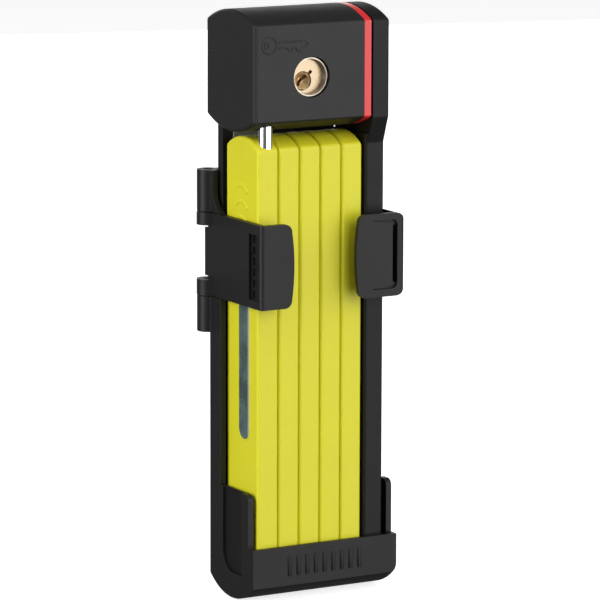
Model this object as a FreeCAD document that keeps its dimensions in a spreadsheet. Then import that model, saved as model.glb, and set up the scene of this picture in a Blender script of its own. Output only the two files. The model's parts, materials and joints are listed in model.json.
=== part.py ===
import FreeCAD, Part
import os
import re
import Sketcher

# Six-link folding bike lock, folded and seated in its frame bracket.
# Drawing frame: origin at the front, left, lower corner of the lock head, X right, Y back, Z up.
# Every sub-part's Placement then moves it so that the row's origin is the centre of the bracket's
# two frame bolts, on the plane that meets the bicycle frame.

DIMENSIONS = {
    # origin of the finished part, in the drawing frame
    "mount_across": 26.55, "mount_back": 33.5, "mount_up": -77.0, "bolt_spacing": 64.0,
    # lock head
    "head_wide": 39.8, "head_deep": 31.5, "head_high": 30.7, "head_rise": 4.0, "head_round": 0.9,
    "shell_wall": 2.2, "lid_thick": 1.2, "lid_chamfer": 0.7, "lip_long": 0.8, "trim_wide": 2.5,
    "link_gap": 0.7, "fit_gap": 0.1, "rod_hole": 2.9, "case_end": 2.1,
    # screws that hold the shell to the case
    "screw_shank": 1.25, "screw_head": 2.6, "screw_start": 25.5, "screw_long": 4.6, "head_thick": 1.1,
    "screw_clearance": 1.6, "counterbore": 2.8, "counterbore_deep": 1.4,
    "socket_radius": 1.1, "socket_deep": 0.6,
    # cylinder
    "cyl_across": 20.7, "cyl_up": 13.7, "collar_radius": 6.15, "barrel_radius": 5.3,
    "barrel_front": 3.4, "barrel_long": 17.0, "plug_radius": 2.6, "plug_shift": 1.45,
    "pin_radius": 0.6, "pin_pitch": 2.8, "running_gap": 0.05, "first_pin": 3.6,
    "bore_gap": 0.35, "collar_front": 1.1, "collar_mouth": 5.75, "sink_radius": 3.1, "sink_deep": 0.35,
    "mouth_radius": 2.5, "mouth_floor": 0.9, "mouth_deep": 1.3, "keyway_wide": 1.1,
    "keyway_reach": 2.75, "keyway_low": 1.65, "keyway_high": 4.4, "keyway_deep": 15.0,
    "key_notch_across": 1.75, "key_notch_up": 2.85, "key_notch_long": 2.1,
    "cam_thick": 1.4, "cam_throw": 2.1, "cam_finger": 0.7, "cam_reach": 3.4,
    # bolt and tongue
    "bolt_front": 22.6, "bolt_thick": 2.0, "bolt_low": 8.4, "bolt_travel": 3.0, "bolt_high": 5.0,
    "bolt_arm": 1.8, "bolt_left": 17.2, "bolt_right": 36.4, "nose_wide": 2.2, "body_right": 31.0,
    "slot_left": 19.6, "slot_right": 22.5, "slot_low": 1.2, "slot_high": 3.4,
    "spring_across": 27.0, "spring_low": 4.1, "spring_high": 4.2, "spring_radius": 1.2, "spring_bore": 0.7,
    "tongue_front": 17.0, "tongue_wide": 9.0, "tongue_low": 14.0, "tongue_high": 6.0,
    "tongue_tip": 32.5, "tongue_play": 1.4, "window_room": 0.5, "notch_left": 33.8, "notch_right": 36.8,
    "notch_deep": 3.0,
    # swivel rod
    "rod_across": 7.2, "rod_back": 5.8, "rod_radius": 2.35, "rod_foot": -14.0, "rod_top": 11.3,
    "neck_radius": 1.8, "neck_low": 9.1, "neck_high": 10.3, "bush_radius": 3.3, "bush_high": 6.7,
    "clip_ring": 3.2, "ring_low": 9.4, "ring_thick": 0.7,
    # links
    "bar_left": 3.07, "bar_pitch": 7.6, "bar_thick": 7.5, "bar_front": 3.1, "bar_deep": 21.0,
    "bar_top": -8.9, "bar_foot": -147.3, "bar_rise": 3.5, "bar_round": 1.1, "bar_corner": 1.6,
    "cover_wall": 1.25, "cover_side": 2.0, "core_thick": 5.0,
    "rivet_radius": 3.0, "rivet_head": 4.2, "rivet_top": -19.0, "rivet_foot": -137.0, "core_rise": 2.5,
    "near_head": 1.0, "far_head": 0.8,
    "inlay_front": 8.4, "inlay_back": 15.7, "inlay_low": -99.2, "inlay_high": -49.6, "inlay_rise": 3.6,
    "inlay_deep": 0.6,
    "last_left": 42.0, "last_right": 49.1, "last_core_left": 43.8, "last_core_thick": 3.6,
    # bracket
    "cradle_left": 0.1, "cradle_wide": 52.9, "plate_front": 26.5, "plate_thick": 3.0,
    "rail_inset": 2.95, "flange_thick": 2.0, "flange_front": 22.4, "rail_top": -2.6, "rail_wide": 3.5,
    "gusset_foot": -25.5,
    "gusset_neck": 1.6, "gusset_hollow": 0.9, "hinge_relief": 0.9, "bridge_top": -4.5, "right_top": -8.0,
    "boss_radius": 7.0, "bolt_sink": 5.0,
    "tray_front": 0.6, "tray_wall": 1.6, "tray_lip": -136.6, "tray_side_top": -119.2,
    "tray_edge": -149.3, "tray_rise": 5.4, "tray_round": 2.2, "tray_floor": 1.4,
    "post_front": 4.0, "panel_front": 8.6, "panel_back": 21.0, "panel_low": -146.4, "panel_deep": 1.2,
    "pad_thick": 2.0, "pad_radius": 8.0, "bolt_hole": 2.75,
    # clips and their hinges
    "clip_top": -31.7, "clip_foot": -58.5, "clip_inset": 0.25, "clip_thick": 1.95,
    "clip_front": -4.0, "tab_thick": 1.8, "clip_behind": 0.8, "hinge_inset": 0.97, "hinge_back": 32.5,
    "knuckle_radius": 3.6, "knuckle_high": 13.4, "knuckle_low": 11.6, "knuckle_gap": 0.3,
    "ear_radius": 3.7, "hinge_pin": 1.5,
    "right_raise": 0.9, "bend_outside": 1.5, "bend_inside": 0.8, "tab_corner": 2.6, "tab_bow": 0.8,
    "upper_ear": 4.1, "lower_ear": 5.1, "rim_wide": 2.8, "rim_round": 3.3,
    "slot_wide": 1.8, "slot_round": 2.0, "slot_run": 9.0, "groove_deep": 1.0, "ladder_deep": 1.55,
}

SHEET = "Dims"
LINKS = 6
# how far a quarter circle of radius 1 bulges from its chord: 1 - cos 45
QUARTER_RISE = 0.2929
Z_AXIS_TO = {
    "X": FreeCAD.Rotation(FreeCAD.Vector(0, 1, 0), 90),
    "Y": FreeCAD.Rotation(FreeCAD.Vector(1, 0, 0), -90),
    "Z": FreeCAD.Rotation(),
    # up and to the right, across the plug, at 45 degrees: the row of tumbler pins
    "pins": FreeCAD.Rotation(FreeCAD.Vector(0, 1, 0), 45),
}
# plane of a sketch: its role, and the sign that turns "towards +axis" into the plane's own normal
PLANES = {"YZ": ("YZ_Plane", 1), "XZ": ("XZ_Plane", -1), "XY": ("XY_Plane", 1)}

doc = FreeCAD.newDocument("folding_bike_lock")
sheet = doc.addObject("Spreadsheet::Sheet", SHEET)
for row, (word, number) in enumerate(DIMENSIONS.items(), start=1):
    sheet.set(f"A{row}", str(number))
    sheet.setAlias(f"A{row}", word)
doc.recompute()
nodes = []


# ---------------------------------------------------------------- helpers

def link(expression):
    """An expression with every cell name pointed at the dimension sheet."""
    def point(match):
        word = match.group(0)
        return f"{SHEET}.{word}" if word in DIMENSIONS else word
    return re.sub(r"[a-z_]+", point, str(expression))


def value(expression):
    """The number that an expression gives with the sheet's present dimensions."""
    return float(sheet.evalExpression(str(expression)))


def as_node(obj, label):
    """Name a finished sub-part and move it from the drawing frame to the part's own frame."""
    obj.Label = label
    obj.setExpression("Placement.Base.x", link("-mount_across"))
    obj.setExpression("Placement.Base.y", link("-mount_back"))
    obj.setExpression("Placement.Base.z", link("-mount_up"))
    nodes.append(obj)
    return obj


def new_body(label):
    body = doc.addObject("PartDesign::Body", label)
    return as_node(body, label)


def sketch_on(body, plane, start):
    role, sign = PLANES[plane]
    sketch = body.newObject("Sketcher::SketchObject", f"{body.Name}_sketch")
    support = [item for item in body.Origin.OriginFeatures if item.Role == role][0]
    sketch.AttachmentSupport = [(support, "")]
    sketch.MapMode = "FlatFace"
    sketch.setExpression("AttachmentOffset.Base.z", link(f"{sign}*({start})"))
    return sketch


def bind(sketch, kind, geometry, point, expression):
    if kind == "Radius":
        constraint = Sketcher.Constraint(kind, geometry, value(expression))
    else:
        constraint = Sketcher.Constraint(kind, -1, 1, geometry, point, value(expression))
    index = sketch.addConstraint(constraint)
    sketch.setExpression(f"Constraints[{index}]", link(expression))


def nearest_ends(sketch, first, second):
    """The end numbers of two edges that lie closest together."""
    pairs = [(i, j) for i in (1, 2) for j in (1, 2)]
    return min(pairs, key=lambda p: (sketch.getPoint(first, p[0]) - sketch.getPoint(second, p[1])).Length)


def add_outline(sketch, points):
    """Closed outline, anticlockwise. A point may carry a rise: how far the edge that leaves it bulges out."""
    places = [FreeCAD.Vector(value(p[0]), value(p[1]), 0) for p in points]
    base = sketch.GeometryCount
    count = len(points)
    for index, point in enumerate(points):
        here, there = places[index], places[(index + 1) % count]
        rise = value(point[2]) if len(point) > 2 else 0
        if rise:
            chord = there - here
            outward = FreeCAD.Vector(chord.y, -chord.x, 0).normalize()
            middle = (here + there) * 0.5 + outward * rise
            edge = Part.Arc(here, middle, there)
        else:
            edge = Part.LineSegment(here, there)
        sketch.addGeometry(edge, False)
    for index in range(count):
        this, following = base + index, base + (index + 1) % count
        ends = nearest_ends(sketch, this, following)
        sketch.addConstraint(Sketcher.Constraint("Coincident", this, ends[0], following, ends[1]))
    for index, point in enumerate(points):
        this, before = base + index, base + (index - 1) % count
        end = nearest_ends(sketch, this, before)[0]
        bind(sketch, "DistanceX", this, end, point[0])
        bind(sketch, "DistanceY", this, end, point[1])
        if len(point) > 2:
            other = points[(index + 1) % count]
            across = f"(({other[0]})-({point[0]}))^2+(({other[1]})-({point[1]}))^2"
            bind(sketch, "Radius", this, 0, f"({across}+4*({point[2]})^2)/(8*abs({point[2]}))")


def add_circle(sketch, across, up, radius):
    centre = FreeCAD.Vector(value(across), value(up), 0)
    index = sketch.addGeometry(Part.Circle(centre, FreeCAD.Vector(0, 0, 1), value(radius)), False)
    bind(sketch, "DistanceX", index, 3, across)
    bind(sketch, "DistanceY", index, 3, up)
    bind(sketch, "Radius", index, 0, radius)


def extrude(body, kind, plane, start, length, outlines=(), circles=()):
    """Pad or pocket towards +axis from a plane at start; a pocket has to take material away."""
    sketch = sketch_on(body, plane, start)
    for points in outlines:
        add_outline(sketch, points)
    for across, up, radius in circles:
        add_circle(sketch, across, up, radius)
    before = body.Tip.Shape.Volume if body.Tip else 0
    feature = body.newObject(f"PartDesign::{kind}", f"{body.Name}_{kind.lower()}")
    feature.Profile = sketch
    feature.setExpression("Length", link(length))
    normal_is_positive = PLANES[plane][1] > 0
    feature.Reversed = normal_is_positive == (kind == "Pocket")
    doc.recompute()
    change = feature.Shape.Volume - before
    if (change > 0) != (kind == "Pad"):
        raise RuntimeError(f"{body.Label}: {kind} on {plane} at {start} changed the volume by {change}")
    return feature


def pad(body, *args, **more):
    return extrude(body, "Pad", *args, **more)


def pocket(body, *args, **more):
    return extrude(body, "Pocket", *args, **more)


def dress(body, kind, size, chosen):
    """Fillet or chamfer the edges of the body's tip that a test picks."""
    tip = body.Tip
    names = [f"Edge{number}" for number, edge in enumerate(tip.Shape.Edges, start=1) if chosen(edge)]
    if not names:
        raise RuntimeError(f"{body.Label}: no edge to {kind.lower()}")
    feature = body.newObject(f"PartDesign::{kind}", f"{body.Name}_{kind.lower()}")
    feature.Base = (tip, names)
    feature.setExpression("Radius" if kind == "Fillet" else "Size", link(size))
    doc.recompute()
    return feature


def on_plane(edge, axis, place):
    """True if a whole edge lies at one place along an axis."""
    box = edge.BoundBox
    low, high = {"X": (box.XMin, box.XMax), "Y": (box.YMin, box.YMax), "Z": (box.ZMin, box.ZMax)}[axis]
    return abs(low - place) < 0.01 and abs(high - place) < 0.01


def rectangle(left, low, right, high):
    return [(left, low), (right, low), (right, high), (left, high)]


def domed(front, low, back, high, low_rise, high_rise):
    """Upright outline with bulging ends: low edge and high edge are arcs."""
    return [(front, low, low_rise), (back, low), (back, high, high_rise), (front, high)]


def placed(obj, start, turn):
    obj.Placement = FreeCAD.Placement(FreeCAD.Vector(), Z_AXIS_TO[turn])
    for letter, expression in zip("xyz", start):
        obj.setExpression(f"Placement.Base.{letter}", link(expression))
    return obj


def cone(name, front_radius, back_radius, length, start, turn):
    obj = doc.addObject("Part::Cone", name)
    obj.setExpression("Radius1", link(front_radius))
    obj.setExpression("Radius2", link(back_radius))
    obj.setExpression("Height", link(length))
    return placed(obj, start, turn)


def cylinder(name, radius, length, start, turn="Z"):
    obj = doc.addObject("Part::Cylinder", name)
    obj.setExpression("Radius", link(radius))
    obj.setExpression("Height", link(length))
    return placed(obj, start, turn)


def box(name, sizes, start, turn="Z"):
    obj = doc.addObject("Part::Box", name)
    for side, expression in zip(("Length", "Width", "Height"), sizes):
        obj.setExpression(side, link(expression))
    return placed(obj, start, turn)


def fuse(name, shapes):
    obj = doc.addObject("Part::MultiFuse", name)
    obj.Shapes = shapes
    return obj


def cut(name, base, tools):
    obj = doc.addObject("Part::Cut", name)
    obj.Base = base
    obj.Tool = tools[0] if len(tools) == 1 else fuse(f"{name}_tools", tools)
    return obj


def group(label, solids):
    """Separate solids that share one node."""
    obj = doc.addObject("Part::Compound", label)
    obj.Links = solids
    return as_node(obj, label)


# ---------------------------------------------------------------- lock head

def head_outline():
    return domed("0", "0", "head_deep", "head_high", "head_rise", "head_rise")


def tongue_window():
    return rectangle("tongue_front-tongue_play", "tongue_low-window_room",
                     "tongue_front+tongue_wide+tongue_play", "tongue_low+tongue_high+window_room")


def case_outline():
    wall = "shell_wall+fit_gap"
    return rectangle(wall, wall, f"head_deep-({wall})", f"head_high-({wall})")


def long_corner(edge):
    """One of the four long edges of the head, along X at a corner of its outline."""
    mid = edge.BoundBox.Center
    deep, high = value("head_deep"), value("head_high")
    at_corner = min(abs(mid.y), abs(mid.y - deep)) < 0.01 and min(abs(mid.z), abs(mid.z - high)) < 0.01
    return at_corner and edge.BoundBox.XLength > 1


SCREWS = (("10", "21"), ("31", "5.5"))


def head_shell():
    body = new_body("head_shell")
    pad(body, "YZ", "lid_thick", "head_wide-lid_thick", [head_outline()])
    dress(body, "Fillet", "head_round", long_corner)
    inside = rectangle("shell_wall", "shell_wall", "head_deep-shell_wall", "head_high-shell_wall")
    pocket(body, "YZ", "lid_thick", "head_wide-lid_thick-2", [inside])
    pocket(body, "XZ", "-1", "shell_wall+2", circles=[("cyl_across", "cyl_up", "collar_radius+bore_gap")])
    pocket(body, "YZ", "head_wide-3", "4", [tongue_window()])
    rod_way = ("rod_across", "rod_back", "rod_hole")
    pocket(body, "XY", "-head_rise-1", "head_rise+1+shell_wall+0.5", circles=[rod_way])
    screw_holes = [(across, up, "screw_clearance") for across, up in SCREWS]
    pocket(body, "XZ", "head_deep-shell_wall-0.5", "shell_wall+1", circles=screw_holes)
    counterbores = [(across, up, "counterbore") for across, up in SCREWS]
    pocket(body, "XZ", "head_deep-counterbore_deep", "counterbore_deep+1", circles=counterbores)


def head_end_cap():
    body = new_body("head_end_cap")
    pad(body, "YZ", "0", "lid_thick", [head_outline()])
    dress(body, "Chamfer", "lid_chamfer", lambda edge: on_plane(edge, "X", 0))
    pad(body, "YZ", "lid_thick", "lip_long", [case_outline()])


def lock_case():
    body = new_body("lock_case")
    pad(body, "YZ", "case_end", "head_wide-2*case_end", [case_outline()])
    bore = ("cyl_across", "cyl_up", "collar_radius+bore_gap+running_gap")
    side_gap, end_gap = "0.3", "0.4"
    pocket(body, "XZ", "0", f"bolt_front-{side_gap}", circles=[bore])
    channel = rectangle(f"bolt_left-{end_gap}", f"bolt_low-{end_gap}",
                        "head_wide", f"bolt_low+bolt_high+bolt_travel+{end_gap}")
    pocket(body, "XZ", f"bolt_front-{side_gap}", f"bolt_thick+2*{side_gap}", [channel])
    pocket(body, "YZ", "tongue_tip-1", "head_wide-tongue_tip+1", [tongue_window()])
    bush_bore, ring_room = (("rod_across", "rod_back", radius) for radius in ("bush_radius", "clip_ring+0.3"))
    pocket(body, "XY", "0", "neck_low", circles=[bush_bore])
    pocket(body, "XY", "neck_low", "rod_top-neck_low+0.9", circles=[ring_room])
    pocket(body, "XY", "spring_low-0.1", "spring_high+0.4",
           circles=[("spring_across", "bolt_front+bolt_thick/2", "spring_radius+0.3")])
    threads = [(across, up, "screw_shank") for across, up in SCREWS]
    pocket(body, "XZ", "screw_start", "head_deep-screw_start", circles=threads)


def red_trim():
    body = new_body("red_trim")
    pad(body, "YZ", "head_wide", "trim_wide", [head_outline()])
    dress(body, "Fillet", "head_round", long_corner)
    pocket(body, "YZ", "head_wide-1", "trim_wide+2", [tongue_window()])


def shell_screws():
    solids = []
    for number, (across, up) in enumerate(SCREWS):
        under_head = "screw_start+screw_long"
        start = (across, "screw_start", up)
        shank = cylinder(f"screw_shank_{number}", "screw_shank", "screw_long", start, "Y")
        head = cylinder(f"screw_head_{number}", "screw_head", "head_thick", (across, under_head, up), "Y")
        socket_start = (across, f"{under_head}+head_thick-socket_deep", up)
        socket = cylinder(f"screw_socket_{number}", "socket_radius", "socket_deep+1", socket_start, "Y")
        solids.append(cut(f"screw_{number}", fuse(f"screw_blank_{number}", [shank, head]), [socket]))
    group("shell_screws", solids)


# ---------------------------------------------------------------- key cylinder

PLUG = ("cyl_across-plug_shift", "cyl_up-plug_shift")
PIN_COUNT = 5
# share of a 45 degree reach that goes across and up: cos 45
SLANT = "0.70711"


def pin_place(number, radius):
    """Centre of a tumbler chamber at a radius from the plug's axis, on the 45 degree row."""
    reach = f"({radius})*{SLANT}"
    return (f"{PLUG[0]}+{reach}", f"barrel_front+first_pin+{number}*pin_pitch", f"{PLUG[1]}+{reach}")


def pin_row(name, radius, length, inner):
    return [cylinder(f"{name}_{n}", radius, length, pin_place(n, inner), "pins") for n in range(PIN_COUNT)]


def cylinder_collar():
    place, long = ("cyl_across", "collar_front", "cyl_up"), "barrel_front-collar_front"
    ring = cylinder("collar_ring", "collar_radius", long, place, "Y")
    mouth = cone("collar_mouth", "collar_mouth", "barrel_radius", long, place, "Y")
    as_node(cut("cylinder_collar", ring, [mouth]), "cylinder_collar")


def cylinder_housing():
    axis = ("cyl_across", "barrel_front", "cyl_up")
    blank = cylinder("barrel_blank", "collar_radius", "barrel_long", axis, "Y")
    bore_start = (PLUG[0], "barrel_front-1", PLUG[1])
    bore = cylinder("plug_bore", "plug_radius+running_gap", "barrel_long+2", bore_start, "Y")
    sink_start = (PLUG[0], "barrel_front", PLUG[1])
    sink = cone("plug_sink", "sink_radius", "plug_radius+running_gap", "sink_deep", sink_start, "Y")
    notch_start = (f"{PLUG[0]}+key_notch_across*{SLANT}", "barrel_front-1", f"{PLUG[1]}+key_notch_up*{SLANT}")
    notch = box("key_notch", ("keyway_wide", "3", "key_notch_long"), notch_start, "pins")
    chambers = pin_row("chamber", "pin_radius+running_gap", "5.1", "1.9")
    as_node(cut("cylinder_housing", blank, [bore, sink, notch] + chambers), "cylinder_housing")


def key_plug():
    start = (PLUG[0], "barrel_front+sink_deep", PLUG[1])
    blank = cylinder("plug_blank", "plug_radius", "barrel_long-sink_deep", start, "Y")
    mouth = cone("plug_mouth", "mouth_radius", "mouth_floor", "mouth_deep", start, "Y")
    corner = (f"{PLUG[0]}-keyway_reach*{SLANT}", "barrel_front-1", f"{PLUG[1]}-keyway_low*{SLANT}")
    keyway = box("keyway", ("keyway_wide", "keyway_deep", "keyway_high"), corner, "pins")
    holes = pin_row("plug_hole", "pin_radius+running_gap", "3", "0")
    as_node(cut("key_plug", blank, [mouth, keyway] + holes), "key_plug")


def tumblers():
    group("key_pins", pin_row("key_pin", "pin_radius", "1.5", "1"))
    group("driver_pins", pin_row("driver_pin", "pin_radius", "1.6", "plug_radius+0.12"))
    group("pin_springs", pin_row("pin_spring", "pin_radius-0.1", "2.5", "4.4"))


def plug_cam():
    back = "barrel_front+barrel_long"
    disc = cylinder("cam_disc", "plug_radius-0.1", "cam_thick", (PLUG[0], back, PLUG[1]), "Y")
    throw = f"cam_throw*{SLANT}"
    start = (f"{PLUG[0]}+{throw}", f"{back}+0.5", f"{PLUG[1]}-{throw}")
    finger = cylinder("cam_finger", "cam_finger", "cam_reach", start, "Y")
    as_node(fuse("plug_cam", [disc, finger]), "plug_cam")


def lock_bolt():
    body = new_body("lock_bolt")
    top, arm, nose = "bolt_low+bolt_high", "bolt_low+bolt_arm", "bolt_right-nose_wide"
    slide = [("bolt_left", "bolt_low"), ("bolt_right", "bolt_low"), ("bolt_right", top), (nose, top),
             (nose, arm), ("body_right", arm), ("body_right", top), ("bolt_left", top)]
    slot = rectangle("slot_left", "bolt_low+slot_low", "slot_right", "bolt_low+slot_high")
    pad(body, "XZ", "bolt_front", "bolt_thick", [slide, slot])


def bolt_spring():
    place = ("spring_across", "bolt_front+bolt_thick/2", "spring_low")
    coil = cylinder("spring_outside", "spring_radius", "spring_high", place)
    middle = cylinder("spring_inside", "spring_bore", "spring_high", place)
    as_node(cut("bolt_spring", coil, [middle]), "bolt_spring")


# ---------------------------------------------------------------- swivel rod

def swivel_rod():
    def length_of(name, radius, low, high):
        return cylinder(name, radius, f"({high})-({low})", ("rod_across", "rod_back", low))
    lengths = [length_of("rod_stem", "rod_radius", "rod_foot", "neck_low"),
               length_of("rod_neck", "neck_radius", "neck_low-0.1", "neck_high+0.1"),
               length_of("rod_tip", "rod_radius", "neck_high", "rod_top")]
    as_node(fuse("swivel_rod", lengths), "swivel_rod")


def rod_ring(label, outer, inner, low, length):
    body = new_body(label)
    rings = [("rod_across", "rod_back", radius) for radius in (outer, inner)]
    pad(body, "XY", low, length, circles=rings)


# ---------------------------------------------------------------- links

def link_left(number):
    """Left face of a link's cover; links are numbered from 1 at the left."""
    return "last_left" if number == LINKS else f"(bar_left+{number - 1}*bar_pitch)"


def core_left(number):
    return "last_core_left" if number == LINKS else f"({link_left(number)}+cover_wall)"


def core_thick(number):
    return "last_core_thick" if number == LINKS else "core_thick"


def link_right(number):
    return "last_right" if number == LINKS else f"({link_left(number)}+bar_thick)"


def rivet_height(number):
    """Height of the rivet that joins a link to the next one: foot, top, foot, ..."""
    return "rivet_foot" if number % 2 else "rivet_top"


def core_outline(number):
    top = "head_high-6" if number == LINKS else "bar_top-core_rise"
    front, back = "bar_front+cover_side", "bar_front+bar_deep-cover_side"
    return domed(front, "bar_foot+cover_side", back, top, "core_rise", "core_rise")


def rivet_circle(number, radius):
    return ("bar_front+bar_deep/2", rivet_height(number), radius)


def cover_outline():
    back = "bar_front+bar_deep"
    return domed("bar_front", "bar_foot", back, "bar_top", "bar_rise", "bar_rise")


def last_cover_outline():
    """The last link's cover: a bar below, and the end that closes the head above."""
    back = "bar_front+bar_deep"
    return [("bar_front", "bar_foot", "bar_rise"), (back, "bar_foot"), (back, "-1.6"),
            ("head_deep", "0.6"), ("head_deep", "head_high", "head_rise"),
            ("0", "head_high"), ("0", "-0.4"), ("bar_front", "bar_top")]


def inlay_outline():
    return domed("inlay_front", "inlay_low", "inlay_back", "inlay_high", "inlay_rise", "inlay_rise")


def bar_core(number):
    body = new_body(f"bar_{number}_core")
    start, thick = core_left(number), core_thick(number)
    pad(body, "YZ", start, thick, [core_outline(number)])
    if number < LINKS:
        pocket(body, "YZ", f"{start}-1", f"{thick}+2", circles=[rivet_circle(number, "rivet_radius")])
    if number > 1:
        hole = rivet_circle(number - 1, "rivet_radius+running_gap")
        pocket(body, "YZ", f"{start}-1", f"{thick}+2", circles=[hole])
    else:
        rod_bore = ("rod_across", "rod_back", "rod_radius")
        pocket(body, "XY", "rod_foot", "bar_top-rod_foot+1", circles=[rod_bore])


def bar_sleeve(number):
    body = new_body(f"bar_{number}_sleeve")
    left, right = link_left(number), link_right(number)
    start, thick = core_left(number), core_thick(number)
    outline = last_cover_outline() if number == LINKS else cover_outline()
    pad(body, "YZ", left, f"{right}-{left}", [outline])
    dress(body, "Fillet", "bar_corner", lambda edge: edge.BoundBox.XLength > 1)
    faces = (value(left), value(right))
    dress(body, "Fillet", "bar_round", lambda edge: any(on_plane(edge, "X", place) for place in faces))
    if number == LINKS:
        pocket(body, "YZ", f"{left}-1", "head_wide+trim_wide+link_gap-last_left+1",
               [rectangle("-2", "-6", "head_deep+2", "head_high+head_rise+2")])
    pocket(body, "YZ", start, thick, [core_outline(number)])
    shaft, recess = "rivet_radius+running_gap", "rivet_head+0.1"
    if number < LINKS:
        pocket(body, "YZ", f"{left}-1", f"{start}-{left}+1", circles=[rivet_circle(number, recess)])
        pocket(body, "YZ", f"{start}+{thick}", "4", circles=[rivet_circle(number, shaft)])
    if number > 1:
        pocket(body, "YZ", f"{left}-1", f"{start}-{left}+1", circles=[rivet_circle(number - 1, shaft)])
        pocket(body, "YZ", f"{start}+{thick}", "4", circles=[rivet_circle(number - 1, recess)])
    if number == 1:
        pocket(body, "XY", "rod_foot", "-rod_foot", circles=[("rod_across", "rod_back", "rod_radius")])
        pocket(body, "YZ", f"{left}-1", "inlay_deep+1", [inlay_outline()])
    if number == LINKS:
        stem = rectangle("tongue_front", "tongue_low", "tongue_front+tongue_wide", "tongue_low+tongue_high")
        pocket(body, "YZ", "last_left", "last_core_left-last_left", [stem])


def bar_inlay():
    body = new_body("bar_1_inlay")
    pad(body, "YZ", "bar_left", "inlay_deep", [inlay_outline()])


def rivet(number):
    following = number + 1
    far = f"({core_left(following)}+{core_thick(following)}+fit_gap)"
    height, middle = rivet_height(number), "bar_front+bar_deep/2"
    near = core_left(number)
    head_start = (f"{near}-near_head", middle, height)
    head = cylinder(f"near_head_{number}", "rivet_head", "near_head", head_start, "X")
    shaft = cylinder(f"rivet_shaft_{number}", "rivet_radius", f"{far}-({near})", (near, middle, height), "X")
    tail = cylinder(f"far_head_{number}", "rivet_head", "far_head", (far, middle, height), "X")
    label = f"rivet_{number}_{following}"
    as_node(fuse(label, [head, shaft, tail]), label)


def locking_tongue():
    body = new_body("locking_tongue")
    low, high = "tongue_low", "tongue_low+tongue_high"
    roof = f"{low}+notch_deep"
    bar = [("tongue_tip", low), ("notch_left", low), ("notch_left", roof), ("notch_right", roof),
           ("notch_right", low), ("last_core_left", low), ("last_core_left", high),
           ("tongue_tip+1", high), ("tongue_tip", f"{high}-1")]
    pad(body, "XZ", "tongue_front", "tongue_wide", [bar])


# ---------------------------------------------------------------- bracket

RIGHT = "(cradle_left+cradle_wide)"
PLATE_BACK = "(plate_front+plate_thick)"
SIDES = ("left", "right")
HINGES = {"left": "(cradle_left+hinge_inset)", "right": f"({RIGHT}-hinge_inset)"}
# the right clip sits a little higher than the left one
RAISE = {"left": "0", "right": "right_raise"}
FRAME_BOLTS = ("mount_up+bolt_spacing/2", "mount_up-bolt_spacing/2")


def upper_knuckle(side):
    """Foot of the knuckle above a clip."""
    return f"(clip_top+knuckle_gap+{RAISE[side]})"


def lower_knuckle(side):
    """Foot of the knuckle below a clip."""
    return f"(clip_foot-knuckle_gap-knuckle_low+{RAISE[side]})"


def knuckle_circle(side, radius):
    return (HINGES[side], "hinge_back", radius)


def plate_outline():
    """Back plate: a slim tongue up the left rail, relieved behind the clips' ears, full width lower down."""
    left, right = "cradle_left", RIGHT
    rail_left, rail_right = "cradle_left+rail_inset", f"{RIGHT}-rail_inset"
    relief_left, relief_right = f"{rail_left}+hinge_relief", f"{rail_right}-hinge_relief"
    foot_left, foot_right = (f"{lower_knuckle(side)}+knuckle_low" for side in SIDES)
    return [(left, "tray_side_top"), (right, "tray_side_top"), (right, foot_right),
            (relief_right, foot_right), (relief_right, upper_knuckle("right")),
            (rail_right, upper_knuckle("right")), (rail_right, "right_top"),
            ("last_left+2", "right_top"), ("last_left+2", "bridge_top"),
            (f"{rail_left}+rail_wide", "bridge_top"), (f"{rail_left}+rail_wide", "rail_top"),
            (rail_left, "rail_top"), (rail_left, upper_knuckle("left")),
            (relief_left, upper_knuckle("left")), (relief_left, foot_left), (left, foot_left)]


def gusset_outline(side):
    """Side cheek beside the upper knuckle, its front edge swept forward at the foot in a hollow curve."""
    foot, neck = upper_knuckle(side), f"{PLATE_BACK}-gusset_neck"
    top = f"{foot}+knuckle_high"
    return [("flange_front", foot), (PLATE_BACK, foot), (PLATE_BACK, top), (neck, top),
            (neck, "gusset_foot", "-gusset_hollow")]


def cradle_back():
    body = new_body("cradle_back")
    pad(body, "XZ", "plate_front", "plate_thick", [plate_outline()])
    starts = {"left": "cradle_left", "right": f"{RIGHT}-flange_thick"}
    web_wide = "5"
    for side in SIDES:
        flange = rectangle("flange_front", "tray_side_top", PLATE_BACK, f"{lower_knuckle(side)}+knuckle_low")
        pad(body, "YZ", starts[side], "flange_thick", [flange])
        pad(body, "YZ", starts[side], "flange_thick", [gusset_outline(side)])
        web_left = HINGES[side] if side == "left" else f"{HINGES[side]}-{web_wide}"
        web = rectangle(web_left, f"{PLATE_BACK}-0.3", f"{web_left}+{web_wide}", "hinge_back+1.4")
        for low, tall in ((upper_knuckle(side), "knuckle_high"), (lower_knuckle(side), "knuckle_low")):
            pad(body, "XY", low, tall, circles=[knuckle_circle(side, "knuckle_radius")])
            pad(body, "XY", low, tall, [web])
            pocket(body, "XY", f"{low}-1", f"{tall}+2", circles=[knuckle_circle(side, "hinge_pin")])
    pad(body, "XZ", PLATE_BACK, "mount_back-pad_thick-plate_front-plate_thick",
        circles=[("mount_across", up, "boss_radius") for up in FRAME_BOLTS])
    for radius, deep in (("bolt_hole", "mount_back-plate_front+1"), ("bolt_sink", "2.8")):
        rings = [("mount_across", up, radius) for up in FRAME_BOLTS]
        pocket(body, "XZ", "plate_front-1", deep, circles=rings)


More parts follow.
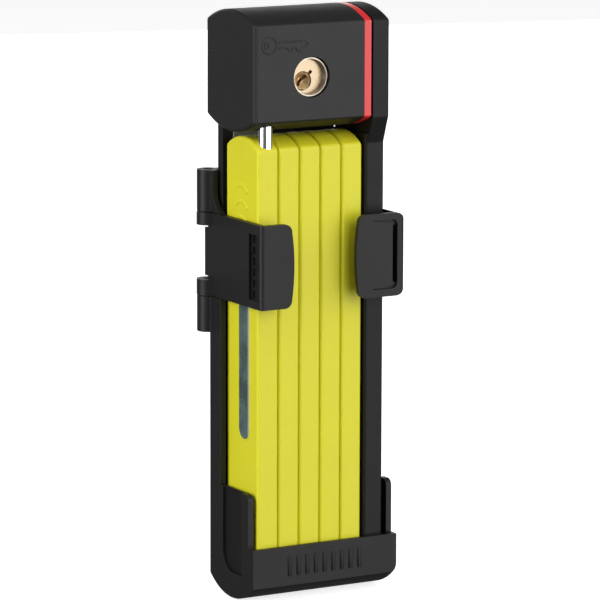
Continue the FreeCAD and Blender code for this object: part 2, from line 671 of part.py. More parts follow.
def cradle_tray():
    body = new_body("cradle_tray")
    left, back = "cradle_left", PLATE_BACK
    cup = [("tray_front", "tray_edge", "tray_rise"), (back, "tray_edge"), (back, "tray_lip"),
           ("tray_front", "tray_lip")]
    pad(body, "YZ", left, "cradle_wide", [cup])
    dress(body, "Fillet", "tray_round", lambda edge: edge.Curve.TypeId == "Part::GeomCircle"
          and on_plane(edge, "X", value(RIGHT)))
    walls = [("post_front", "tray_lip-1"), (back, "tray_lip-1"), (back, "tray_side_top"),
             ("post_front+tray_round", "tray_side_top", f"{QUARTER_RISE}*tray_round"),
             ("post_front", "tray_side_top-tray_round")]
    pad(body, "YZ", left, "cradle_wide", [walls])
    room_front = "tray_front+tray_wall"
    floor, above = "tray_edge+tray_floor", "tray_side_top+20"
    room = [(room_front, floor, "tray_rise-0.7"), ("plate_front", floor), ("plate_front", above),
            (room_front, above)]
    pocket(body, "YZ", f"{left}+flange_thick", "cradle_wide-2*flange_thick", [room])
    top = "tray_side_top+4"
    panel = [("panel_front", "panel_low"), ("panel_back-7", "panel_low", "1.9"),
             ("panel_back", "panel_low+5.9"), ("panel_back", top), ("panel_front", top)]
    pocket(body, "YZ", f"{left}-1", "panel_deep+1", [panel])
    pocket(body, "YZ", f"{RIGHT}-panel_deep", "panel_deep+1", [panel])


def frame_pads():
    solids = []
    for number, up in enumerate(FRAME_BOLTS):
        pad_start = "mount_back-pad_thick"
        hole_start = ("mount_across", f"{pad_start}-1", up)
        disc = cylinder(f"pad_disc_{number}", "pad_radius", "pad_thick", ("mount_across", pad_start, up), "Y")
        hole = cylinder(f"pad_hole_{number}", "bolt_hole", "pad_thick+2", hole_start, "Y")
        solids.append(cut(f"pad_ring_{number}", disc, [hole]))
    group("frame_pads", solids)


def hinge_pins(side):
    """The two short pins of a clip, each pressed into a knuckle and reaching into the clip's ear."""
    solids = []
    for end, low, long in (("upper", "clip_top-upper_ear+0.6", "knuckle_high+upper_ear-0.7"),
                           ("lower", "clip_foot-knuckle_low-0.1", "knuckle_low+lower_ear-0.5")):
        start = (HINGES[side], "hinge_back", f"{low}+{RAISE[side]}")
        solids.append(cylinder(f"{side}_{end}_pin", "hinge_pin", long, start))
    group(f"{side}_hinge_pins", solids)


# ---------------------------------------------------------------- side clips

def mirrored(points):
    """An outline drawn for the left clip, mirrored across the bracket and kept anticlockwise."""
    across = [f"2*mount_across-({point[0]})" for point in points]
    rises = [point[2:] for point in points]
    flipped = []
    for index in range(len(points) - 1, -1, -1):
        flipped.append((across[index], points[index][1]) + tuple(rises[index - 1]))
    return flipped


OUTER = "(cradle_left+clip_inset)"
INNER = "(cradle_left+clip_inset+clip_thick)"


def clip_section(reach):
    """Plan of a clip: a plate along the bracket's side that turns round the front to a given reach."""
    outside, inside = "bend_outside", "bend_inside"
    return [(OUTER, "hinge_back+clip_behind"), (OUTER, f"clip_front+{outside}", f"{QUARTER_RISE}*{outside}"),
            (f"{OUTER}+{outside}", "clip_front"), (reach, "clip_front"), (reach, "clip_front+tab_thick"),
            (f"{INNER}+{inside}", "clip_front+tab_thick", f"-{QUARTER_RISE}*{inside}"),
            (INNER, f"clip_front+tab_thick+{inside}"), (INNER, "hinge_back+clip_behind")]


def tab_outline(start, reach, low, high):
    """Front tab seen from the front, its free end rounded and slightly bowed."""
    arc = f"{QUARTER_RISE}*tab_corner"
    return [(start, low), (f"{reach}-tab_corner", low, arc), (reach, f"{low}+tab_corner", "tab_bow"),
            (reach, f"{high}-tab_corner", arc), (f"{reach}-tab_corner", high), (start, high)]


def clip(side, reach, root):
    def facing(points):
        return points if side == "left" else mirrored(points)
    body = new_body(f"{side}_clip")
    low, high = f"clip_foot+{RAISE[side]}", f"clip_top+{RAISE[side]}"
    pad(body, "XY", low, f"({high})-({low})", [facing(clip_section(root))])
    pad(body, "XZ", "clip_front", "tab_thick", [facing(tab_outline(f"{root}-1", reach, low, high))])
    ears = ((f"{high}-upper_ear", "upper_ear"), (low, "lower_ear"))
    for foot, tall in ears:
        pad(body, "XY", foot, tall, circles=[knuckle_circle(side, "ear_radius")])
    for foot, tall in ears:
        pocket(body, "XY", f"{foot}-1", f"{tall}+2", circles=[knuckle_circle(side, "hinge_pin+running_gap")])
    return body


def off_corner(across, up, sign):
    """What a rounding of rim_round takes off the right upper (sign +) or right lower (sign -) corner."""
    arc, size, beyond = f"-{QUARTER_RISE}*rim_round", f"{sign}rim_round", f"{sign}1"
    points = [(across, f"{up}-({size})"), (f"{across}+1", f"{up}-({size})"),
              (f"{across}+1", f"{up}+({beyond})"), (f"{across}-rim_round", f"{up}+({beyond})"),
              (f"{across}-rim_round", up, arc)]
    if sign == "+":
        return points
    start, *others, end = points
    return [(end[0], end[1])] + others[::-1] + [(start[0], start[1], arc)]


def left_clip():
    body = clip("left", "11.5", "6")
    slot_low, slot_high, step = "clip_foot+2.6", "clip_top-3.2", "clip_front+1.7"
    pocket(body, "YZ", f"{OUTER}-1", "groove_deep+1", [rectangle(step, slot_low, "4.1", slot_high)])
    rungs = 6
    pitch = f"({slot_high}-({slot_low}))/{rungs}"
    rows = [f"{slot_low}+{number}*{pitch}" for number in range(rungs)]
    windows = [rectangle(f"{step}+0.5", f"{row}+0.4", "3", f"{row}+{pitch}-0.4") for row in rows]
    pocket(body, "YZ", OUTER, "ladder_deep", windows)


def right_clip():
    body = clip("right", "17.3", "7")
    low, high = "clip_foot+right_raise", "clip_top+right_raise"
    outer = f"{RIGHT}-clip_inset"
    for up, sign in ((high, "+"), (low, "-")):
        pocket(body, "XZ", "clip_front-1", "hinge_back-clip_front-4", [off_corner(outer, up, sign)])
    rim, end = f"{outer}-rim_wide", f"{outer}-rim_wide-slot_run"
    pad_edge, turn = f"{rim}-slot_wide", f"{QUARTER_RISE}*slot_round"
    top, foot = f"{high}-2", f"{low}+2.4"
    groove = [(end, foot), (f"{rim}-slot_round", foot, turn), (rim, f"{foot}+slot_round"),
              (rim, f"{top}-slot_round", turn), (f"{rim}-slot_round", top), (end, top),
              (end, f"{top}-0.3"), (pad_edge, f"{top}-1.1"), (pad_edge, f"{foot}+1.1"), (end, f"{foot}+0.3")]
    pocket(body, "XZ", "clip_front-1", "groove_deep+1", [groove])
    slot = rectangle(pad_edge, f"{foot}+slot_round", rim, f"{top}-slot_round")
    pocket(body, "XZ", "clip_front-1", "tab_thick+2", [slot])


def grip_pad(side, left, right):
    """Soft block behind a clip's tab that rests against the front of the links."""
    body = new_body(f"{side}_grip_pad")
    margin, link_room, corner = "3.5", "0.6", "0.8"
    block = rectangle(left, f"clip_foot+{margin}+{RAISE[side]}", right, f"clip_top-{margin}+{RAISE[side]}")
    pad(body, "XZ", "clip_front+tab_thick", f"bar_front-clip_front-tab_thick-{link_room}", [block])
    dress(body, "Fillet", corner, lambda edge: edge.BoundBox.YLength > 1)


# ---------------------------------------------------------------- the whole part

def build():
    head_shell()
    head_end_cap()
    lock_case()
    red_trim()
    shell_screws()
    cylinder_collar()
    cylinder_housing()
    key_plug()
    tumblers()
    plug_cam()
    lock_bolt()
    bolt_spring()
    swivel_rod()
    rod_ring("rod_bush", "bush_radius", "rod_radius+running_gap", "shell_wall+fit_gap", "bush_high")
    rod_ring("rod_clip", "clip_ring", "neck_radius+running_gap", "ring_low", "ring_thick")
    for number in range(1, LINKS + 1):
        bar_core(number)
        bar_sleeve(number)
    bar_inlay()
    for number in range(1, LINKS):
        rivet(number)
    locking_tongue()
    cradle_back()
    cradle_tray()
    frame_pads()
    for side in SIDES:
        hinge_pins(side)
    left_clip()
    right_clip()
    grip_pad("left", "3.6", "8.2")
    grip_pad("right", "38.6", "45.2")
    doc.recompute()


def check():
    for obj in doc.Objects:
        if "Invalid" in obj.State or "Error" in obj.State:
            raise RuntimeError(f"{obj.Label} failed: {obj.State}")
    for obj in nodes:
        if obj.Shape.isNull() or not obj.Shape.isValid() or not obj.Shape.Solids:
            raise RuntimeError(f"{obj.Label} has no valid solid")


def write():
    os.makedirs("parts", exist_ok=True)
    for obj in nodes:
        obj.Shape.exportStep(f"parts/{obj.Label}.step")
        solids = len(obj.Shape.Solids)
        print(f"{obj.Label}: {solids} solid(s), {obj.Shape.Volume:.1f} mm3")


build()
check()
write()
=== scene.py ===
"""Folding bike lock in its frame bracket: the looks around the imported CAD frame. Metres throughout."""
import json
import math

import bmesh
import bpy
from mathutils import Matrix, Vector


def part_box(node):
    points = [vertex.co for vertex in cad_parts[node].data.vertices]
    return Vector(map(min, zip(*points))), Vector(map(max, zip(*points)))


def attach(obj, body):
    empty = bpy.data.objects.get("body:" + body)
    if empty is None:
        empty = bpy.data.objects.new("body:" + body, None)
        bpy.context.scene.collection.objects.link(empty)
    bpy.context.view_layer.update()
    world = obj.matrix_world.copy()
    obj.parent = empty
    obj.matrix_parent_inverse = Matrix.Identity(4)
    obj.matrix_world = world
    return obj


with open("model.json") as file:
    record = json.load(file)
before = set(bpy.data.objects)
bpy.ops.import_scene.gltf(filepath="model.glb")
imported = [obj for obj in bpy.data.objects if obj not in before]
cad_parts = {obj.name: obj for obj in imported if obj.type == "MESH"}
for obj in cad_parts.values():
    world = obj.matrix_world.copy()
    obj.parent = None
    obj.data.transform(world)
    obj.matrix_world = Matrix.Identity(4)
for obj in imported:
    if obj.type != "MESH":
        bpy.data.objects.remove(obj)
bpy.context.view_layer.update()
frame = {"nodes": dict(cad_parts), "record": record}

MM = 0.001
SCENE = bpy.context.scene
NODES = frame["nodes"]
# the head's front, left, lower corner: the places below count from it, X right, Y back, Z up
CORNER = Vector((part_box("head_end_cap")[0].x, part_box("head_end_cap")[0].y, 0.077))


RIGHT, UP, BACK = Vector((1, 0, 0)), Vector((0, 0, 1)), Vector((0, 1, 0))
LEFT, FRONT = -RIGHT, -BACK
# faces that the added pieces lie on, in millimetres from the corner
HEAD_FRONT, LINK_LEFT, TRAY_FRONT, PLATE_BACK = 0, 3.07, 0.6, 29.5


def at(x, y, z):
    """A place in millimetres from the head's corner, in the row frame."""
    return CORNER + Vector((x, y, z)) * MM


# ---------------------------------------------------------------- materials

class Look:
    """A Principled material and short ways to feed it."""

    def __init__(self, name, colour, rough, metal=0.0, **constants):
        self.mat = bpy.data.materials.new(name)
        self.mat.use_nodes = True
        self.tree = self.mat.node_tree
        self.bsdf = next(n for n in self.tree.nodes if n.type == "BSDF_PRINCIPLED")
        self.colour, self.rough = colour, rough
        self.set("Base Color", (*colour, 1))
        self.set("Roughness", rough)
        self.set("Metallic", metal)
        for socket, value in constants.items():
            self.set(socket.replace("_", " "), value)
        self.place = self.node("ShaderNodeTexCoord").outputs["Object"]
        self.height = None

    def set(self, socket, value):
        self.bsdf.inputs[socket].default_value = value

    def node(self, kind, inputs=(), **settings):
        made = self.tree.nodes.new(kind)
        for key, value in settings.items():
            setattr(made, key, value)
        for key, value in dict(inputs).items():
            if isinstance(value, bpy.types.NodeSocket):
                self.tree.links.new(value, made.inputs[key])
            else:
                made.inputs[key].default_value = value
        return made

    def math(self, operation, a, b=0.0, clamp=False):
        return self.node("ShaderNodeMath", {0: a, 1: b}, operation=operation, use_clamp=clamp).outputs[0]

    def spread(self, value, low, high, to_low=0.0, to_high=1.0):
        made = self.node("ShaderNodeMapRange", {"Value": value, "From Min": low, "From Max": high,
                                                "To Min": to_low, "To Max": to_high})
        return made.outputs[0]

    def noise(self, size_mm, detail=3.0, stretch=(1, 1, 1), rough=0.5):
        """Noise whose features are about size_mm across; stretch squeezes it along an axis."""
        place = self.place
        if stretch != (1, 1, 1):
            place = self.node("ShaderNodeMapping", {"Vector": place, "Scale": stretch}).outputs[0]
        inputs = {"Vector": place, "Scale": 1 / (size_mm * MM), "Detail": detail, "Roughness": rough}
        return self.node("ShaderNodeTexNoise", inputs).outputs["Fac"]

    def bump(self, value, depth_mm):
        """Stack a height, in millimetres for a value from 0 to 1, on the ones before it."""
        inputs = {"Height": value, "Distance": depth_mm * MM, "Strength": 1.0}
        if self.height is not None:
            inputs["Normal"] = self.height
        self.height = self.node("ShaderNodeBump", inputs).outputs[0]
        self.tree.links.new(self.height, self.bsdf.inputs["Normal"])

    def mix(self, share, first, second):
        """Colour from first to second."""
        made = self.node("ShaderNodeMix", data_type="RGBA")
        for index, value in ((0, share), (6, first), (7, second)):
            if isinstance(value, bpy.types.NodeSocket):
                self.tree.links.new(value, made.inputs[index])
            else:
                made.inputs[index].default_value = value if index == 0 else (*value, 1)
        return made.outputs[2]

    def paint(self, socket, value):
        self.tree.links.new(value, self.bsdf.inputs[socket])

    def edges(self, radius_mm=0.35):
        """1 on edges and corners, 0 on flats: where a rounded normal leaves the face's own."""
        rounded = self.node("ShaderNodeBevel", {"Radius": radius_mm * MM}, samples=4).outputs[0]
        own = self.node("ShaderNodeNewGeometry").outputs["Normal"]
        along = self.node("ShaderNodeVectorMath", {0: rounded, 1: own}, operation="DOT_PRODUCT")
        return self.spread(along.outputs["Value"], 0.97, 0.8)

    def toned(self, share, colour, tone):
        """The colour varied by its tone either way, as share goes from 0 to 1."""
        return self.mix(share, shade(colour, 1 - tone), shade(colour, 1 + tone))


def shade(colour, factor):
    return tuple(min(1.0, c * factor) for c in colour)


def moulded(name, colour, rough, grain_mm=0.35, grain_deep=0.006, tone=0.06, wear_and_highlight_colour=None, **constants):
    """Moulded plastic or rubber: fine grain, faint flow marks, handling scuffs, and edges mixed towards a
    paler colour, partly wear and partly painted highlight.
    """
    look = Look(name, colour, rough, **constants)
    flow = look.noise(14, 4, rough=0.6)
    fine = look.noise(1.4, 5)
    share = look.math("ADD", look.math("MULTIPLY", flow, 0.65), look.math("MULTIPLY", fine, 0.35))
    tinted = look.toned(look.spread(share, 0.3, 0.7), colour, tone)
    scratch = look.spread(look.noise(0.5, 2, stretch=(1, 1, 0.04)), 0.66, 0.74)
    patchy = look.spread(look.noise(9, 2), 0.5, 0.66)
    scuff = look.math("MULTIPLY", scratch, patchy)
    # edges and corners, in patches: partly wear, partly painted highlight
    wear_and_highlight = look.math("MULTIPLY", look.edges(), look.spread(look.noise(2.2, 4), 0.35, 0.65))
    if wear_and_highlight_colour:
        tinted = look.mix(look.math("MULTIPLY", wear_and_highlight, 0.5), tinted, wear_and_highlight_colour)
    look.paint("Base Color", tinted)
    polish = look.math("SUBTRACT", look.spread(share, 0.3, 0.7, rough - 0.04, rough + 0.05),
                       look.math("MULTIPLY", wear_and_highlight, 0.1))
    look.paint("Roughness", look.math("SUBTRACT", polish, look.math("MULTIPLY", scuff, 0.08), clamp=True))
    look.bump(look.noise(grain_mm, 3, rough=0.6), grain_deep)
    look.bump(flow, 0.004)
    look.bump(scuff, -0.004)
    return look


def machined(name, colour, rough, brush=(1, 1, 0.05), depth=0.004, tone=0.08):
    """Bare or plated metal: brush lines along one axis, stains and small nicks."""
    look = Look(name, colour, rough, 1.0)
    lines = look.noise(0.18, 3, stretch=brush)
    stains = look.noise(6, 5, rough=0.6)
    nicks = look.spread(look.noise(0.9, 1), 0.72, 0.78)
    look.paint("Base Color", look.toned(look.spread(stains, 0.35, 0.65), colour, tone))
    mottled = look.math("ADD", stains, look.math("MULTIPLY", lines, 0.4))
    varied = look.spread(mottled, 0.4, 1.0, rough * 0.75, rough * 1.3)
    look.paint("Roughness", look.math("ADD", varied, look.math("MULTIPLY", nicks, 0.1)))
    look.bump(lines, depth)
    look.bump(nicks, -0.01)
    return look


def turned(name, colour, rough, axis, ring_mm=0.22, depth=0.003):
    """Metal turned about an axis along Y through a place: concentric tool marks on its faces."""
    look = Look(name, colour, rough, 1.0)
    middle = look.node("ShaderNodeVectorMath", {0: look.place, 1: tuple(axis)}, operation="SUBTRACT")
    parts = look.node("ShaderNodeSeparateXYZ", {0: middle.outputs[0]}).outputs
    radius = look.math("SQRT", look.math("ADD", look.math("MULTIPLY", parts[0], parts[0]),
                                         look.math("MULTIPLY", parts[2], parts[2])))
    wobble = look.math("MULTIPLY", look.noise(1.5, 2), 0.12 * MM)
    turns = look.math("MULTIPLY", look.math("ADD", radius, wobble), 2 * math.pi / (ring_mm * MM))
    rings = look.math("SINE", turns)
    stains = look.noise(2.5, 5, rough=0.65)
    look.paint("Base Color", look.toned(look.spread(stains, 0.35, 0.65), colour, 0.07))
    look.paint("Roughness", look.spread(stains, 0.3, 0.7, rough * 0.7, rough * 1.4))
    look.bump(look.spread(rings, -1, 1), depth)
    look.bump(look.spread(look.noise(0.35, 2), 0.7, 0.8), -0.008)
    return look


def reflective(name, colour, light, rough):
    """Reflective strip: small pressed diamonds under a clear skin, paler along its front edge."""
    look = Look(name, colour, rough, 0.55, Coat_Weight=0.9, Coat_Roughness=0.07)
    parts = look.node("ShaderNodeSeparateXYZ", {0: look.place}).outputs
    cell = 1.1 * MM
    steepness = 0.58
    slopes = []
    for sign in (1, -1):
        along = look.math("ADD", parts[1], look.math("MULTIPLY", parts[2], sign * steepness))
        wave = look.math("PINGPONG", along, cell / 2)
        slopes.append(look.math("DIVIDE", wave, cell / 2))
    pressed = look.math("MINIMUM", *slopes)
    clouds = look.noise(7, 5, rough=0.65)
    front = look.spread(parts[1], -23.5 * MM, -24.1 * MM)  # from the strip's dark field to its paler edge
    tinted = look.mix(look.spread(clouds, 0.35, 0.65), shade(colour, 0.7), shade(colour, 1.35))
    look.paint("Base Color", look.mix(look.math("MULTIPLY", front, 0.8), tinted, light))
    look.paint("Roughness", look.spread(clouds, 0.3, 0.7, rough * 0.7, rough * 1.4))
    look.bump(pressed, 0.05)
    return look


CYLINDER_AXIS, PLUG_AXIS = at(20.7, 0, 13.7), at(19.25, 0, 12.25)
# each moulded look's paler edge colour is partly wear and partly painted highlight
LOOKS = {
    "head_black": moulded("head_black", (0.0125, 0.0118, 0.0120), 0.50, wear_and_highlight_colour=(0.05, 0.049, 0.049),
                          Specular_IOR_Level=0.34),
    "link_black": moulded("link_black", (0.0085, 0.0082, 0.0082), 0.50, wear_and_highlight_colour=(0.04, 0.04, 0.039),
                          Specular_IOR_Level=0.22),
    "bracket_black": moulded("bracket_black", (0.0105, 0.0100, 0.0098), 0.47, grain_mm=0.3, grain_deep=0.007,
                             wear_and_highlight_colour=(0.05, 0.047, 0.046), Specular_IOR_Level=0.28),
    "clip_black": moulded("clip_black", (0.0110, 0.0105, 0.0107), 0.50, grain_mm=0.3, grain_deep=0.007,
                          wear_and_highlight_colour=(0.05, 0.048, 0.048), Specular_IOR_Level=0.29),
    "grip_rubber": moulded("grip_rubber", (0.014, 0.014, 0.014), 0.78, grain_mm=0.5, grain_deep=0.015,
                           Specular_IOR_Level=0.35),
    "lime_cover": moulded("lime_cover", (0.735, 0.695, 0.022), 0.42, grain_mm=0.28, grain_deep=0.004,
                          tone=0.025, wear_and_highlight_colour=(0.74, 0.70, 0.08), Specular_IOR_Level=0.42),
    "red_trim": moulded("red_trim", (0.74, 0.022, 0.026), 0.33, grain_deep=0.003, tone=0.05,
                        wear_and_highlight_colour=(0.85, 0.12, 0.12), Specular_IOR_Level=0.5, Coat_Weight=0.2, Coat_Roughness=0.2),
    "inlay": reflective("inlay", (0.140, 0.225, 0.215), (0.98, 0.98, 0.92), 0.3),
    "case_steel": machined("case_steel", (0.52, 0.53, 0.55), 0.35),
    "core_steel": machined("core_steel", (0.35, 0.35, 0.37), 0.42),
    "hard_steel": machined("hard_steel", (0.42, 0.42, 0.43), 0.3, brush=(0.05, 1, 1)),
    "chrome_rod": machined("chrome_rod", (0.88, 0.89, 0.91), 0.11, brush=(1, 1, 0.02), depth=0.0006,
                           tone=0.02),
    "small_steel": machined("small_steel", (0.55, 0.55, 0.56), 0.28),
    "spring_steel": machined("spring_steel", (0.48, 0.48, 0.5), 0.25),
    "collar_brass": turned("collar_brass", (0.56, 0.49, 0.40), 0.42, CYLINDER_AXIS, ring_mm=0.3),
    "cylinder_gold": turned("cylinder_gold", (0.43, 0.335, 0.225), 0.27, CYLINDER_AXIS),
    "pin_brass": turned("pin_brass", (0.78, 0.60, 0.30), 0.3, CYLINDER_AXIS),
}
# two pieces have a look of their own within their slot
PLUG_GOLD = turned("plug_gold", (0.60, 0.42, 0.22), 0.52, PLUG_AXIS, ring_mm=0.4, depth=0.0015)
REST_GREY = moulded("rest_grey", (0.27, 0.275, 0.27), 0.6, grain_mm=0.3, grain_deep=0.006,
                    wear_and_highlight_colour=(0.3, 0.3, 0.3), Specular_IOR_Level=0.35)


def dress_node(name, slot):
    """Give a CAD node its slot's material."""
    slots = NODES[name].data.materials
    slots.clear()
    slots.append(LOOKS[slot].mat)


def soften(obj, width_mm):
    """Round the sharp edges of a node or a piece with modifiers; its own mesh stays as it is."""
    weld = obj.modifiers.new("weld", "WELD")
    weld.merge_threshold = 1e-6
    flat = obj.modifiers.new("flat", "DECIMATE")
    flat.decimate_type = "DISSOLVE"
    flat.angle_limit = math.radians(0.4)
    bevel = obj.modifiers.new("bevel", "BEVEL")
    bevel.width = width_mm * MM
    bevel.segments = 2
    bevel.limit_method = "ANGLE"
    bevel.angle_limit = math.radians(38)
    bevel.use_clamp_overlap = True
    normals = obj.modifiers.new("normals", "WEIGHTED_NORMAL")
    normals.keep_sharp = False
    normals.weight = 60


for part in frame["record"]["subparts"]:
    dress_node(part["node"], part["material_slot"])
NODES["key_plug"].data.materials[0] = PLUG_GOLD.mat


# ---------------------------------------------------------------- added pieces

def finish_piece(name, bm, body, slot):
    """Turn a bmesh into a piece that rides on a body."""
    bmesh.ops.remove_doubles(bm, verts=bm.verts, dist=1e-7)
    bmesh.ops.recalc_face_normals(bm, faces=bm.faces)
    mesh = bpy.data.meshes.new(name)
    bm.to_mesh(mesh)
    bm.free()
    for face in mesh.polygons:
        face.use_smooth = True
    mesh.set_sharp_from_angle(angle=math.radians(35))
    piece = bpy.data.objects.new(name, mesh)
    SCENE.collection.objects.link(piece)
    mesh.materials.append(LOOKS[slot].mat)
    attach(piece, body)
    return piece


def ridge(bm, path, across, out, half, high, closed=False):
    """A low rounded ridge along a path on a face: across runs over the ridge, out leaves the face."""
    slope = [(0.6, 0.86), (0.92, 0.45), (1.0, -0.25)]
    profile = [(-u, v) for u, v in reversed(slope)] + [(0.0, 1.0)] + slope
    rings = []
    for point, side in zip(path, across):
        rings.append([bm.verts.new(point + side * (u * half) + out * (v * high)) for u, v in profile])
    count = len(path)
    for index in range(count if closed else count - 1):
        first, second = rings[index], rings[(index + 1) % count]
        for k in range(len(profile)):
            nxt = (k + 1) % len(profile)
            bm.faces.new((first[k], first[nxt], second[nxt], second[k]))
    if not closed:
        bm.faces.new(rings[0])
        bm.faces.new(rings[-1])


def sides_of(path, out, closed=False):
    """For each point of a path, the direction on the face across it."""
    count = len(path)
    found = []
    for index in range(count):
        before = path[index - 1] if index or closed else path[0]
        after = path[(index + 1) % count] if index < count - 1 or closed else path[-1]
        found.append((after - before).cross(out).normalized())
    return found


def arc(centre, across, up, radius, start, end, steps):
    """Points along an arc, its two angles in degrees from across towards up."""
    angles = [math.radians(start + (end - start) * step / steps) for step in range(steps + 1)]
    return [centre + across * (radius * math.cos(a)) + up * (radius * math.sin(a)) for a in angles]


def key_mark():
    """Plain outline of a key, raised on the head's front."""
    bm = bmesh.new()
    half, high = 0.24 * MM, 0.24 * MM
    for x, radius, steps in ((5.4, 2.6, 40), (4.5, 0.8, 20)):  # the bow and the eye in it
        ring = arc(at(x, HEAD_FRONT, 24.4), RIGHT, UP, radius * MM, 0, 360, steps)[:-1]
        ridge(bm, ring, sides_of(ring, FRONT, True), FRONT, half, high, closed=True)
    shank = [(8.0, 25.3), (18.2, 25.3), (19.6, 24.4), (18.2, 23.5), (17.2, 23.5)]
    teeth = [(16.6, 22.2), (15.6, 22.2), (15.0, 23.3), (14.0, 23.3), (13.4, 22.5), (12.4, 22.5), (11.8, 23.5)]
    blade = [at(x, HEAD_FRONT, z) for x, z in shank + teeth + [(8.0, 23.5)]]
    ridge(bm, blade, sides_of(blade, FRONT), FRONT, half, high)
    finish_piece("head_key_mark", bm, "lock_head", "head_black")


def tray_ribs():
    """Row of plain upright ribs on the tray's front."""
    bm = bmesh.new()
    first, spacing, count = 13.4, 3.2, 9
    for index in range(count):
        x = first + spacing * index
        path = [at(x, TRAY_FRONT, z) for z in (-146.2, -145.9, -140.1, -139.8)]
        sides = [RIGHT * s for s in (0.45, 1, 1, 0.45)]
        ridge(bm, path, sides, FRONT, 0.75 * MM, 0.35 * MM)
    finish_piece("tray_grip_ribs", bm, "bracket", "bracket_black")


def link_arcs():
    """Three low moulded arcs on the first link's outer face."""
    bm = bmesh.new()
    radius = 4.6
    for crest in (-21.1, -26.2, -31.2):
        path = arc(at(LINK_LEFT, 14.1, crest - radius), BACK, UP, radius * MM, 147, 33, 18)
        ridge(bm, path, sides_of(path, LEFT), LEFT, 0.6 * MM, 0.22 * MM)
    finish_piece("link_1_arcs", bm, "link_1", "lime_cover")


def inlay_frame():
    """Thin raised lip of the cover round the inlay."""
    bm = bmesh.new()
    low, high, front, rear, rise = -99.2, -49.6, 8.4, 15.7, 3.6
    radius = ((rear - front) ** 2 / 4 + rise ** 2) / (2 * rise)
    middle = (front + rear) / 2
    half_angle = math.degrees(math.asin((rear - front) / 2 / radius))
    path = []
    for z, turned_to in ((high + rise - radius, 90), (low - rise + radius, 270)):
        start, end = turned_to - half_angle, turned_to + half_angle
        path += arc(at(LINK_LEFT, middle, z), BACK, UP, radius * MM, start, end, 16)
    ridge(bm, path, sides_of(path, LEFT, True), LEFT, 0.24 * MM, 0.16 * MM, closed=True)
    finish_piece("inlay_lip", bm, "link_1", "lime_cover")


def side_panels_and_painted_shade():
    """Smooth dark plates let into the recesses in the tray's two sides, in the darker link black: partly the
    plates' own colour, partly painted shade that deepens the recesses.
    """
    front, rear, low_edge, top_edge, radius = 8.85, 20.75, -146.15, -119.6, 6.0
    corner = arc(at(0, rear - radius, low_edge + radius), BACK, UP, radius * MM, -90, 0, 10)
    outline = [at(0, front, top_edge), at(0, front, low_edge)] + corner + [at(0, rear, top_edge)]
    for name, low, high in (("tray_panel_shade_left", 0.95, 1.28), ("tray_panel_shade_right", 51.82, 52.15)):
        bm = bmesh.new()
        near, far = ([bm.verts.new(point + RIGHT * (x * MM)) for point in outline] for x in (low, high))
        bm.faces.new(near)
        bm.faces.new(far)
        for index in range(len(outline)):
            after = (index + 1) % len(outline)
            bm.faces.new((near[index], near[after], far[after], far[index]))
        # the darker link_black slot on these plates is partly painted shade of the recesses
        soften(finish_piece(name, bm, "bracket", "link_black"), 0.1)


def plate_block(name, low, high, slot):
    """A plain block on the bracket's plate, between two corners."""
    bm = bmesh.new()
    spans = tuple(zip(low, high))
    corners = [bm.verts.new((x, y, z)) for x in spans[0] for y in spans[1] for z in spans[2]]
    for quad in ((0, 1, 3, 2), (4, 6, 7, 5), (0, 4, 5, 1), (2, 3, 7, 6), (0, 2, 6, 4), (1, 5, 7, 3)):
        bm.faces.new([corners[index] for index in quad])
    block = finish_piece(name, bm, "bracket", slot)
    soften(block, 0.12)
    return block


def plate_top():
    """Grey rubber strip and raised lip at the plate's top, behind the gap between head and links."""
    strip = plate_block("plate_rest_strip", at(6.9, 25.95, -16.0), at(20.5, 26.48, -4.8), "grip_rubber")
    strip.data.materials[0] = REST_GREY.mat
    plate_block("plate_top_lip", at(7.2, 27.2, -4.9), at(43.2, 29.2, -2.8), "bracket_black")


def back_ribs():
    """Stiffening ribs on the back of the bracket's plate, clear of its two bosses."""
    bm = bmesh.new()
    for x in (13.0, 40.1):
        path = [at(x, PLATE_BACK, z) for z in (-143.6, -143.0, -65.6, -65.0)]
        ridge(bm, path, [RIGHT * s for s in (0.4, 1, 1, 0.4)], BACK, 0.6 * MM, 1.4 * MM)
    for z in (-66.5, -88.0, -127.0, -142.0):
        path = [at(x, PLATE_BACK, z) for x in (13.0, 13.4, 39.7, 40.1)]
        ridge(bm, path, [UP * s for s in (0.6, 1, 1, 0.6)], BACK, 0.55 * MM, 1.1 * MM)
    finish_piece("plate_back_ribs", bm, "bracket", "bracket_black")


key_mark()
tray_ribs()
link_arcs()
inlay_frame()
side_panels_and_painted_shade()
plate_top()
back_ribs()

EDGE_WIDTHS = {"head_end_cap": 0.15, "cradle_back": 0.3, "cradle_tray": 0.3, "right_clip": 0.22,
               "red_trim": 0.12, "head_shell": 0.12}
for name, width in EDGE_WIDTHS.items():
    soften(NODES[name], width)


# ---------------------------------------------------------------- stage, lights, camera

def stage_floor():
    """Plain pale floor just under the tray."""
    size = 12.0
    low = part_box("cradle_tray")[0].z
    bm = bmesh.new()
    bmesh.ops.create_grid(bm, x_segments=2, y_segments=2, size=size)
    mesh = bpy.data.meshes.new("floor")
    bm.to_mesh(mesh)
    bm.free()
    floor = bpy.data.objects.new("floor", mesh)
    SCENE.collection.objects.link(floor)
    floor.location = (0, 0, low - 0.2 * MM)
    look = Look("floor", (0.86, 0.86, 0.86), 0.7, Emission_Color=(1, 1, 1, 1), Emission_Strength=0.75)
    look.paint("Roughness", look.spread(look.noise(40, 3), 0.3, 0.7, 0.65, 0.8))
    mesh.materials.append(look.mat)
    floor.visible_glossy = False
    floor.visible_diffuse = False


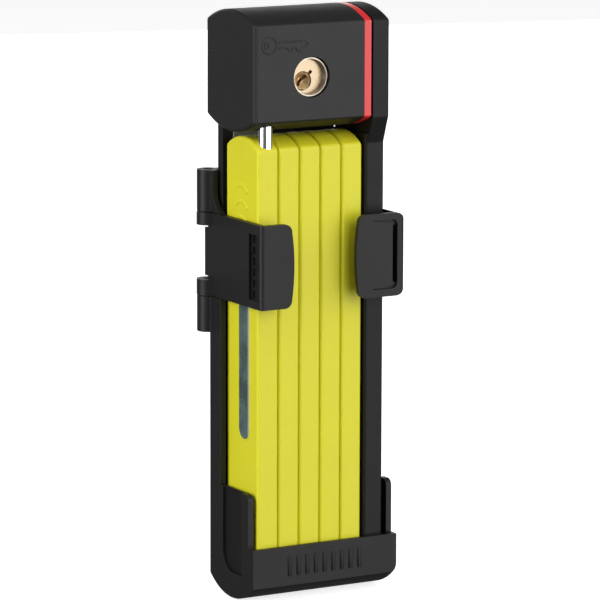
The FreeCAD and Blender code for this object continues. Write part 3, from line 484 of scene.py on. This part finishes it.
def softbox(name, azimuth, elevation, distance, width, height, radiance):
    """A large lamp that faces the object. Azimuth 0 stands in front of it, 90 at its right."""
    aim = Vector((0, -0.012, 0.015))
    a, e = math.radians(azimuth), math.radians(elevation)
    away = Vector((math.sin(a) * math.cos(e), -math.cos(a) * math.cos(e), math.sin(e)))
    lamp = bpy.data.lights.new(name, "AREA")
    lamp.shape = "RECTANGLE"
    lamp.size, lamp.size_y = width, height
    lamp.energy = radiance * math.pi * width * height
    obj = bpy.data.objects.new(name, lamp)
    SCENE.collection.objects.link(obj)
    obj.location = aim + away * distance
    obj.rotation_mode = "QUATERNION"
    obj.rotation_quaternion = (-away).to_track_quat("-Z", "Y")
    obj.visible_camera = False


def world_light(strength):
    world = bpy.data.worlds.new("studio")
    world.use_nodes = True
    background = next(n for n in world.node_tree.nodes if n.type == "BACKGROUND")
    background.inputs["Color"].default_value = (1, 1, 1, 1)
    background.inputs["Strength"].default_value = strength
    SCENE.world = world


def camera():
    """A long lens, low and to the left of the object's front."""
    azimuth, elevation, roll = (math.radians(v) for v in (29.51, 9.93, 0.14))
    lens_mm, sensor_mm, distance = 253.4916, 36.0, 1.3476
    aim, aside, below = at(24, 10, -60), 1.5406 * MM, 0.9633 * MM
    ahead = Vector((math.sin(azimuth) * math.cos(elevation), math.cos(azimuth) * math.cos(elevation),
                    -math.sin(elevation)))
    right = Vector((math.cos(azimuth), -math.sin(azimuth), 0))
    up = right.cross(ahead)
    right, up = right * math.cos(roll) + up * math.sin(roll), up * math.cos(roll) - right * math.sin(roll)
    lens = bpy.data.cameras.new("camera")
    lens.sensor_width = sensor_mm
    lens.lens = lens_mm
    lens.clip_start, lens.clip_end = 0.05, 60
    obj = bpy.data.objects.new("camera", lens)
    SCENE.collection.objects.link(obj)
    obj.matrix_world = Matrix((right, up, -ahead)).transposed().to_4x4()
    obj.location = aim - right * aside + up * below - ahead * distance
    SCENE.camera = obj


stage_floor()
world_light(0.14)
softbox("key_right", 25, 8, 1.3, 2.0, 1.6, 2.35)
softbox("fill_left", -86, 10, 1.3, 0.9, 1.6, 4.8)
softbox("back_light", 165, 4, 1.6, 1.4, 1.2, 1.6)
softbox("top_light", -10, 70, 1.4, 1.2, 0.8, 1.45)
camera()
SCENE.view_settings.view_transform = "Standard"
SCENE.view_settings.look = "None"
